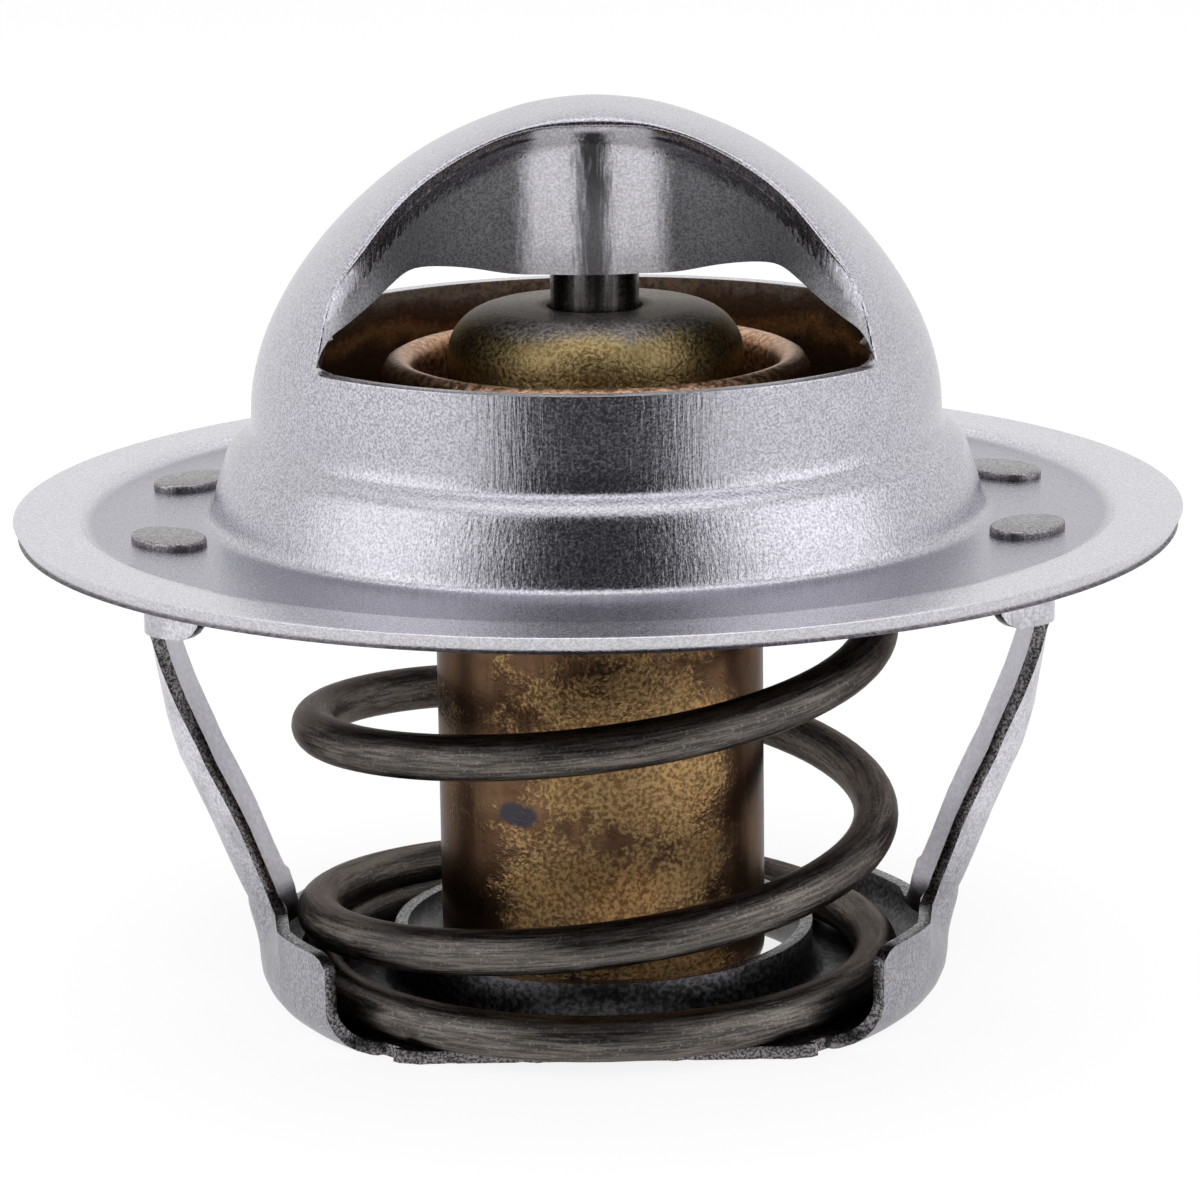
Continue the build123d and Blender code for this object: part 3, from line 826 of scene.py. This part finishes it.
def filmed_copper():
    """Brown film of heat, worn through to pitted gold in patches, with a painted shadow under the
    flange.
    """
    metal, tree = new_finish("filmed_copper", edge_tint=(0.62, 0.6, 0.59))
    speckle, streaks, clouds = grain_marks(tree, 5200, 1900, 230)
    place, axes = object_place(tree)
    broad = noise(tree, stretched(tree, place, (1, 1, 1.5)), 190, 6.0, 0.68)
    # the film is drawn whole on the flanks and thinner in front, and under the flange it is drawn
    # whole as a painted shadow
    side = math_node(tree, "ABSOLUTE", plus(tree, axes["X"], -0.5 * mm))
    front = spread(tree, side, 3.8 * mm, 7.0 * mm, 0.04, -0.14)
    high = spread(tree, axes["Z"], rim_top - 8 * mm, rim_top - 4 * mm, 0, -0.12)
    bare_and_shadow = plus(tree, broad, front, high, times(tree, speckle, 0.2))
    flecks = spread(tree, speckle, 0.34, 0.66)
    film = mix(tree, spread(tree, clouds, 0.35, 0.65), *heat_film)
    film = mix(tree, spread(tree, streaks, 0.45, 0.75, 0, 0.5), film, film_streaks)
    gold, orange = (mix(tree, flecks, *pair) for pair in (pitted_gold, pitted_orange))
    pitted = mix(tree, spread(tree, clouds, 0.46, 0.62), gold, orange)
    colour = mix(tree, spread(tree, bare_and_shadow, 0.54, 0.66), film, pitted)
    # a blue scorch mark low on the front
    mark = add_node(
        tree, "ShaderNodeVectorMath", {0: place, 1: scorch_place}, operation="SUBTRACT"
    )
    reach = length(tree, stretched(tree, mark.outputs[0], (1, 1, 1.7)))
    reach = plus(tree, reach, times(tree, broad, 2.4 * mm))
    colour = mix(tree, spread(tree, reach, 1.75 * mm, 2.2 * mm, 0.9, 0), colour, scorch_blue)
    colour = mix(tree, spread(tree, side, 5.0 * mm, 7.2 * mm, 0, 0.6), colour, flank_brown)
    pits = times(tree, speckle, spread(tree, bare_and_shadow, 0.5, 0.66, 0.2, 1))
    return worked(metal, colour, spread(tree, bare_and_shadow, 0.5, 0.7, 0.3, 0.44), pits, 0.035 * mm)


capsule.data.materials.append(filmed_copper())
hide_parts("wax_capsule")
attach(capsule, "element")

# -------------------------------------------------------------- seal_ring, rubber_boot, wax_charge
# What the capsule holds: a PTFE ring and a rubber boot round the pin, and the wax, which is
# filled with copper powder. They are out of sight and keep their plain solids.


def filled(name, dark, light, roughness, grain):
    """A soft filling or moulding: matt, finely mottled between two colours."""
    stuff, tree = new_finish(name, metallic=0.0)
    speckle, _, clouds = grain_marks(tree, grain, cloud=400)
    colour = mix(tree, spread(tree, speckle, 0.35, 0.65), dark, light)
    gloss = spread(tree, clouds, 0.3, 0.7, roughness, roughness + 0.12)
    return worked(stuff, colour, gloss, speckle, 0.02 * mm)


for node, stuff in (
    ("seal_ring", filled("ptfe_white", (0.66, 0.65, 0.62), (0.78, 0.77, 0.74), 0.4, 1500)),
    ("rubber_boot", filled("boot_rubber", (0.014, 0.014, 0.015), (0.03, 0.03, 0.031), 0.55, 2200)),
    ("wax_charge", filled("copper_wax", (0.30, 0.17, 0.09), (0.50, 0.31, 0.18), 0.5, 3000)),
):
    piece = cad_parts[node]
    piece.data.materials.clear()
    piece.data.materials.append(stuff)

# ---------------------------------------------------------------- valve_disc
# Copper stamping pressed on the capsule. Its collar is folded back on itself, and the fold
# is rubbed pale. Its flat edge closes on the step of the neck.
disc_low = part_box("valve_disc")[0].z
disc_radius = 15.84
disc_bore = 7.66
land_top = rim_top + 2.76 * mm
pan_top = land_top - 0.45 * mm
collar_top = rim_top + 6.92 * mm
disc = turned(
    "valve_plate",
    from_level(disc_low, (disc_bore, 0), (14.2, 0), (14.7, 0.45), (disc_radius, 0.45))
    + from_level(land_top, (disc_radius, 0), (14.8, 0))
    + from_level(pan_top, (14.35, 0), (11.1, 0), (10.55, 0.12), (10.15, 0.5), (9.98, 1.1))
    + from_level(collar_top, (9.95, -1.2), (9.86, -0.62), (9.62, -0.22), (9.25, -0.03))
    + from_level(collar_top, (8.9, -0.1), (8.62, -0.3), (8.47, -0.62), (8.45, -1.1))
    + from_level(pan_top, (8.45, 0.3), (8.3, 0.08), (disc_bore, 0))
    + from_level(disc_low, (disc_bore, 0)),
    144,
)
close_ends(disc)
apply_modifier(disc, "BEVEL", width=0.08 * mm, segments=2, angle_limit=radians(50))
smooth(40)

browned = (0.16, 0.075, 0.035), (0.36, 0.185, 0.09)
rubbed_pale = (0.28, 0.15, 0.08), (0.66, 0.43, 0.28)
pan_shade = (0.06, 0.035, 0.022)


def browned_copper():
    metal, tree = new_finish("browned_copper")
    speckle, _, clouds = grain_marks(tree, 3600, cloud=330)
    _, axes = object_place(tree)
    flecks = spread(tree, speckle, 0.38, 0.62)
    level = plus(tree, axes["Z"], times(tree, clouds, 1.2 * mm))
    worn = spread(tree, level, collar_top - 0.1 * mm, collar_top + 0.5 * mm)
    colour = mix(tree, worn, mix(tree, flecks, *browned), mix(tree, flecks, *rubbed_pale))
    low = spread(tree, level, pan_top + 0.9 * mm, pan_top + 4.2 * mm, 0.75, 0)
    colour = mix(tree, low, colour, pan_shade)
    return worked(metal, colour, spread(tree, speckle, 0.3, 0.7, 0.33, 0.5), speckle, 0.04 * mm)


disc.data.materials.append(browned_copper())
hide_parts("valve_disc")
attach(disc, "element")

# ---------------------------------------------------------------- main_spring
# Oil-tempered round wire, coiled right-handed with a closed turn at each end. The drawing
# die left long lines along the wire. It sits a little to one side of the axis.
wire_radius = 1.05 * mm
coil_radius = 13.2 * mm
turn_height = 9.1 * mm
closed_turns = 0.9
ramp_turns = 0.5
spring_low, spring_high = (corner.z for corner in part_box("main_spring"))
coil_bottom = spring_low + wire_radius
coil_top = spring_high - wire_radius
rising_turns = (coil_top - coil_bottom) / turn_height + ramp_turns
coil_lean = -0.28 * mm  # towards the left
coil_tilt = 0.02  # the free turns stand a little higher at the back
coil_rings = 90  # to a turn
tiny_turn = 0.002
wire_sides = 28


def coil_height(turn):
    """Height of the wire's centre above the lower closed turn."""
    risen = min(max(turn - closed_turns, 0), rising_turns)
    height = turn_height * (risen - ramp_turns / 2)
    if risen < ramp_turns:
        height = turn_height * risen**2 / (2 * ramp_turns)
    left = rising_turns - risen
    if left < ramp_turns:
        height -= turn_height * (ramp_turns - left) ** 2 / (2 * ramp_turns)
    return height


def coil_point(turn):
    angle = tau * (turn - closed_turns)
    share = min(max(turn - closed_turns, 0) / rising_turns, 1)
    tilt = coil_tilt * 4 * share * (1 - share)
    x, y = coil_radius * cos(angle), coil_radius * sin(angle)
    return Vector((x + coil_lean, y, coil_bottom + coil_height(turn) + tilt * y))


coil_turns = rising_turns + 2 * closed_turns
rings = round(coil_rings * coil_turns)
points, lays, faces = [], [], []
for ring in range(rings + 1):
    turn = coil_turns * ring / rings
    centre = coil_point(turn)
    ahead = (coil_point(turn + tiny_turn) - coil_point(turn - tiny_turn)).normalized()
    angle = tau * (turn - closed_turns)
    up = ahead.cross(Vector((cos(angle), sin(angle), 0))).normalized()
    outward = up.cross(ahead)
    for side in range(wire_sides):
        angle = tau * side / wire_sides
        points.append(centre + (outward * cos(angle) + up * sin(angle)) * wire_radius)
        along = turn * tau * coil_radius
        lays += [wire_radius * cos(angle), wire_radius * sin(angle), along]
for ring in range(rings):
    for side in range(wire_sides):
        a = ring * wire_sides + side
        b = ring * wire_sides + (side + 1) % wire_sides
        faces.append((a, b, b + wire_sides, a + wire_sides))
faces.append(tuple(range(wire_sides)))
faces.append(tuple(rings * wire_sides + side for side in range(wire_sides)))
wire = bpy.data.meshes.new("spring_wire")
wire.from_pydata(points, [], faces)
wire.attributes.new("lay", "FLOAT_VECTOR", "POINT").data.foreach_set("vector", lays)
spring = bpy.data.objects.new("spring_coil", wire)
bpy.context.scene.collection.objects.link(spring)
close_ends(spring)
smooth(50)

wire_lines = (0.06, 0.055, 0.052), (0.19, 0.168, 0.148)
wire_bands, wire_glints, wire_oil = (0.27, 0.245, 0.215), (0.30, 0.28, 0.26), (0.06, 0.056, 0.056)


def drawn_wire():
    metal, tree = new_finish("drawn_wire", edge_tint=(0.5, 0.47, 0.46))
    lay = add_node(tree, "ShaderNodeAttribute", attribute_name="lay").outputs["Vector"]
    along = stretched(tree, lay, (1, 1, 0.07))
    lines = noise(tree, along, 6800, 4.0, 0.72)
    broad = noise(tree, along, 900, 2.0)
    speckle, _, clouds = grain_marks(tree, 6500, cloud=160)
    colour = mix(tree, spread(tree, lines, 0.4, 0.64), *wire_lines)
    colour = mix(tree, spread(tree, broad, 0.52, 0.72, 0, 0.5), colour, wire_bands)
    colour = mix(tree, spread(tree, speckle, 0.56, 0.7, 0, 0.5), colour, wire_glints)
    colour = mix(tree, spread(tree, clouds, 0.45, 0.7, 0, 0.5), colour, wire_oil)
    marks = plus(tree, lines, times(tree, speckle, 0.3))
    return worked(metal, colour, spread(tree, lines, 0.3, 0.7, 0.27, 0.44), marks, 0.025 * mm)


spring.data.materials.append(drawn_wire())
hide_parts("main_spring")
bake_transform(spring)

# ---------------------------------------------------------------- lower_frame
# One deep-drawn steel stirrup: a dish cut to a strip, with a drawn-up eye round the capsule,
# and two gutter-shaped legs whose folded heads are staked over on top of the flange. Its
# outside is dull from pickling, the legs' inside is pale as a painted reflection, and the dish
# is stained dark.
frame_sheet = 0.6 * mm
dish_radius = 16.3 * mm
dish_wall = 4.65 * mm
dish_bend = 2.0 * mm
eye_bend = 1.4 * mm
eye_radius = 9.3 * mm
eye_height = 3.15 * mm
strip_half_width = 10.35 * mm
plate_half_width = 11.5 * mm
plate_half_length = 9.9 * mm
wall_corner = 1.0 * mm
dish_steps = 240
leg_columns = 8  # each side of the leg's middle
leg_angle = radians(360 * leg_columns / dish_steps)
back_step, step_run = 2.0 * mm, 2.3 * mm  # the wall steps down behind the legs
squeeze, squeeze_place = 0.6 * mm, 3.5 * mm  # and its step is drawn in to the leg
pinch_end = 6.2 * mm  # where the gutter's valley runs out into the dish's wall
gutter_half = 2.7 * mm
leg_crown, leg_valley = 16.86 * mm, 15.44 * mm  # from the axis, at the dish's wall
head_radius = 20.88 * mm
head_half = 3.6  # half the head's width
root_top = -17  # from the rim; the leg's root flares below this
head_low = rim_top - 5.07 * mm
head_high = rim_top - 1.17 * mm
# leg: height from the rim, crown from the axis, gutter's depth, half width
leg_rows = [
    (-18.7, 16.97, 1.44, 3.05), (-18.4, 17.12, 1.46, 2.86), (-18.0, 17.3, 1.48, 2.75),
    (-17.3, 17.6, 1.5, 2.7), (-16.3, 18.0, 1.53, 2.7), (-15.2, 18.43, 1.55, 2.7),
    (-14.1, 18.91, 1.54, 2.7), (-13.1, 19.34, 1.5, 2.7), (-12.0, 19.83, 1.45, 2.7),
    (-11.0, 20.13, 1.35, 2.7), (-10.0, 20.38, 1.15, 2.7), (-9.0, 20.53, 0.85, 2.7),
    (-8.0, 20.68, 0.62, 2.7), (-7.0, 20.82, 0.42, 2.7), (-6.3, 20.88, 0.3, 2.72),
    (-5.8, 20.88, 0.18, 2.8), (-5.4, 20.88, 0.08, 3.0), (-5.15, 20.88, 0.02, 3.3),
]
ear_course = [
    (20.88, 3.9), (20.85, 4.3), (20.72, 4.75), (20.46, 5.18), (20.1, 5.5), (19.6, 5.88),
    (19.1, 6.26), (18.75, 6.52), (18.45, 6.75), (18.2, 6.94), (18.0, 7.09),
]
head_corner = 1.7 * mm
head_rows = 6
stake_place = Vector((19.38 * mm, 6.26 * mm))
stake_angle = radians(53)
stake_length, stake_width, stake_height = 4.3 * mm, 3.0 * mm, 0.34 * mm
stake_sunk = 0.05 * mm
recess_top = rim_top - 0.42 * mm

stirrup = turned(
    "stirrup_sheet",
    [
        (eye_radius, eye_height), (eye_radius, 2 * mm), (eye_radius, eye_bend),
        *quarter((eye_radius, eye_bend), (eye_radius + eye_bend, 0), 6, leaves_flat=False),
        (12.0 * mm, 0), (13.4 * mm, 0), (dish_radius - dish_bend, 0),
        *quarter((dish_radius - dish_bend, 0), (dish_radius, dish_bend), 6),
        *((dish_radius, z * mm) for z in (2.5, 3.0, 3.4, 3.8, 4.1, 4.35)),
        (dish_radius, dish_wall),
    ],
    dish_steps,
)


def cut(test, point, normal, **settings):
    """Cuts the picked part of the stirrup at a plane."""
    pick_points(stirrup, test)
    bpy.ops.mesh.bisect(plane_co=point, plane_no=normal, **settings)
    bpy.ops.object.mode_set(mode="OBJECT")


# the plate is parted from the dish's two ends, and each is cut to its width
slack = 0.001 * mm
for side in (-1, 1):
    cut(lambda p: True, (side * plate_half_length, 0, 0), (1, 0, 0))
pick_points(stirrup, lambda p: abs(abs(p.x) - plate_half_length) < slack)
bpy.ops.mesh.edge_split(type="EDGE")
bpy.ops.object.mode_set(mode="OBJECT")
for side in (-1, 1):
    for test, half in (
        (lambda p: abs(p.x) < plate_half_length + slack, plate_half_width),
        (lambda p: p.x > plate_half_length - slack, strip_half_width),
        (lambda p: p.x < slack - plate_half_length, strip_half_width),
    ):
        cut(test, (0, side * half, 0), (0, side, 0), clear_outer=True)


def pull(test, x, y, z):
    """Pulls a new row of faces out of the stirrup's picked edge."""
    pick_points(stirrup, test)
    extrude(x, y, z)
    bpy.ops.object.mode_set(mode="OBJECT")


# the wall grows a row at a time, and then each row goes to its place in the leg
leg_edge = dish_radius * sin(leg_angle) + slack
for side in (-1, 1):
    for row in range(len(leg_rows) + head_rows + 1):
        top = dish_wall - slack + row * mm
        pull(lambda p: p.z > top and p.x * side > 0 and abs(p.y) < leg_edge, 0, 0, mm)


def eased(share):
    share = min(max(share, 0), 1)
    return share * share * (3 - 2 * share)


def leg_form(y, z):
    """How far out a point of the dish's wall lies, pinched into the leg's gutter."""
    circle = sqrt(max(dish_radius**2 - y * y, 0))
    far = abs(y)
    if far > pinch_end:
        return circle
    x = leg_crown - (leg_crown - leg_valley) * (far / gutter_half) ** 2
    if far >= gutter_half:
        share = (far - gutter_half) / (pinch_end - gutter_half)
        x = leg_valley + (sqrt(dish_radius**2 - pinch_end**2) - leg_valley) * share
    return circle + (x - circle) * eased((z - dish_bend) / (dish_wall - dish_bend))


head_levels = [head_low + (head_high - head_low) * i / head_rows for i in range(head_rows + 1)]
all_rows = leg_rows + [
    ((level - rim_top) / mm, head_radius / mm, 0, head_half) for level in head_levels
]
wall_low = 2.5 * mm  # the wall's corners are rounded above this
for point in stirrup.data.vertices:
    x, y, z = point.co
    side = 1 if x > 0 else -1
    if z > dish_wall + slack:
        share = asin(y / dish_radius) / leg_angle
        level, crown, depth, width = all_rows[round((z - dish_wall) / mm) - 1]
        if share > 0 and level < root_top:
            width = gutter_half / mm  # the root doesn't flare at the back
        point.co = (
            side * (crown - depth * share**2) * mm, share * width * mm, rim_top + level * mm
        )
    elif z > dish_bend and abs(x) > plate_half_length:
        past = max(abs(y) - (strip_half_width - wall_corner), 0)
        drop = wall_corner - sqrt(wall_corner**2 - past**2)
        share = (z - dish_bend) / (dish_wall - dish_bend)
        fall = drop * max((z - wall_low) / (dish_wall - wall_low), 0)
        fall += back_step * eased((y - gutter_half) / step_run) * share
        drawn_in = squeeze * share * exp(-(((y - squeeze_place) / mm) ** 2))
        point.co = (side * leg_form(y, z), y - drawn_in, z - fall)

# each head's edges are folded back towards the flange's stakes, and lose their lower corners
course = [Vector((head_radius / mm, head_half)) * mm]
course += [Vector(place) * mm for place in ear_course]
reach = [0.0]
for here, there in zip(course, course[1:]):
    reach.append(reach[-1] + (there - here).length)
for side in (-1, 1):
    for end in (-1, 1):
        for here, there in zip(course, course[1:]):
            pull(
                lambda p: abs(p.x * side - here.x) < 5 * slack
                and abs(p.y * end - here.y) < 5 * slack
                and p.z > head_low - slack,
                side * (there.x - here.x),
                end * (there.y - here.y),
                0,
            )
        for point in stirrup.data.vertices:
            x, y, z = point.co
            if x * side > 0 and y * end > head_half * mm + 0.1 * mm and z > head_low - mm:
                nearest = min(range(len(course)), key=lambda i: abs(course[i].y - y * end))
                past = max(reach[nearest] - (reach[-1] - head_corner), 0)
                rise = head_corner - sqrt(max(head_corner**2 - past**2, 0))
                point.co.z += rise * (head_high - z) / (head_high - head_low)
merge(stirrup, 0.01 * mm)
floor_face = min(stirrup.data.polygons, key=lambda face: face.center.z)
if floor_face.normal.z > 0:
    stirrup.data.flip_normals()

# dark and light flecks of the frame's skins, and what lies over them
pickled = (0.25, 0.245, 0.265), (0.44, 0.43, 0.465)
leg_rubbed = (0.50, 0.49, 0.53), (0.74, 0.73, 0.78)
eye_stain_and_shade = (0.03, 0.028, 0.028), (0.10, 0.095, 0.095)
leg_reflection_pale = (0.78, 0.77, 0.84), (0.88, 0.87, 0.94)
dish_stain = (0.055, 0.052, 0.055), (0.15, 0.145, 0.155)
bath_cloud, bath_streaks = (0.24, 0.235, 0.25), (0.16, 0.155, 0.165)


def pickled_steel():
    """Dull outside of the frame, mottled by the pickling bath."""
    metal, tree = new_finish("pickled_steel")
    speckle, streaks, clouds = grain_marks(tree, 7000, 5000, 420)
    place, axes = object_place(tree)
    flecks = spread(tree, speckle, 0.36, 0.64)
    # the eye round the capsule is dark: partly a real stain, partly painted shade where the
    # capsule's shadow falls
    eye = spread(tree, axis_distance(tree, place), 10 * mm, 10.8 * mm, 1, 0)
    colour = mix(tree, eye, mix(tree, flecks, *pickled), mix(tree, flecks, *eye_stain_and_shade))
    bright = spread(tree, axes["Z"], dish_wall, dish_wall + 5 * mm)
    colour = mix(tree, bright, colour, mix(tree, flecks, *leg_rubbed))
    colour = mix(tree, spread(tree, clouds, 0.45, 0.68, 0, 0.4), colour, bath_cloud)
    colour = mix(tree, spread(tree, streaks, 0.56, 0.72, 0, 0.45), colour, bath_streaks)
    return worked(metal, colour, spread(tree, speckle, 0.3, 0.7, 0.34, 0.5), speckle, 0.02 * mm)


def frame_inside():
    """Inside of the frame: pale on the legs as a painted reflection, stained nearly black in the
    dish.
    """
    metal, tree = new_finish("frame_inside")
    speckle, _, clouds = grain_marks(tree, 4200, cloud=380)
    place, axes = object_place(tree)
    flecks = spread(tree, speckle, 0.4, 0.64)
    level = plus(tree, axes["Z"], times(tree, clouds, 1.6 * mm))
    # painted reflection: the legs' inside is pale and nearly matt, standing in for the side light's
    # reflection in the bright steel
    legs = spread(tree, level, dish_wall - 0.9 * mm, dish_wall + 0.6 * mm)
    legs = times(tree, legs, spread(tree, axis_distance(tree, place), 13 * mm, 14.5 * mm))
    colour = mix(tree, legs, mix(tree, flecks, *dish_stain), mix(tree, flecks, *leg_reflection_pale))
    gloss = spread(tree, speckle, 0.3, 0.7, 0.32, 0.46)
    metallic = plus(tree, times(tree, legs, -0.85), 1.0)
    return worked(metal, colour, gloss, speckle, 0.02 * mm, metallic)


finishes = (
    pickled_steel(),
    frame_inside(),
    sheared_edge("frame_edge", (0.27, 0.26, 0.265), (0.05, 0.046, 0.046)),
    sheared_edge("stake_steel", (0.36, 0.35, 0.36), (0.17, 0.16, 0.165)),
)
for finish in finishes:
    stirrup.data.materials.append(finish)
apply_modifier(
    stirrup, "SOLIDIFY", thickness=frame_sheet, offset=-1, material_offset=1, material_offset_rim=2
)
apply_modifier(stirrup, "BEVEL", width=0.06 * mm, segments=2, angle_limit=radians(60), material=2)
for x_side, y_side in ((1, 1), (1, -1), (-1, 1), (-1, -1)):
    bpy.ops.object.select_all(action="DESELECT")
    bpy.ops.mesh.primitive_cylinder_add(vertices=48, radius=1, depth=2, location=(0, 0, 0))
    stake = bpy.context.object
    height = stake_height / 2 + stake_sunk
    stake.data.transform(
        Matrix.Translation((x_side * stake_place.x, y_side * stake_place.y, recess_top))
        @ Matrix.Rotation(-x_side * y_side * stake_angle, 4, "Z")
        @ Matrix.Translation((0, 0, stake_height / 2 - stake_sunk))
        @ Matrix.Diagonal((stake_length / 2, stake_width / 2, height, 1))
    )
    apply_modifier(stake, "BEVEL", width=0.14 * mm, segments=3, angle_limit=radians(40))
    stake.data.materials.append(finishes[3])
    only(stirrup)
    stake.select_set(True)
    bpy.ops.object.join()
smooth(45)
stirrup.data.transform(Matrix.Translation((0, 0, 0.001 * mm)))  # just clear of the table
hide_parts("lower_frame")
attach(stirrup, "root")
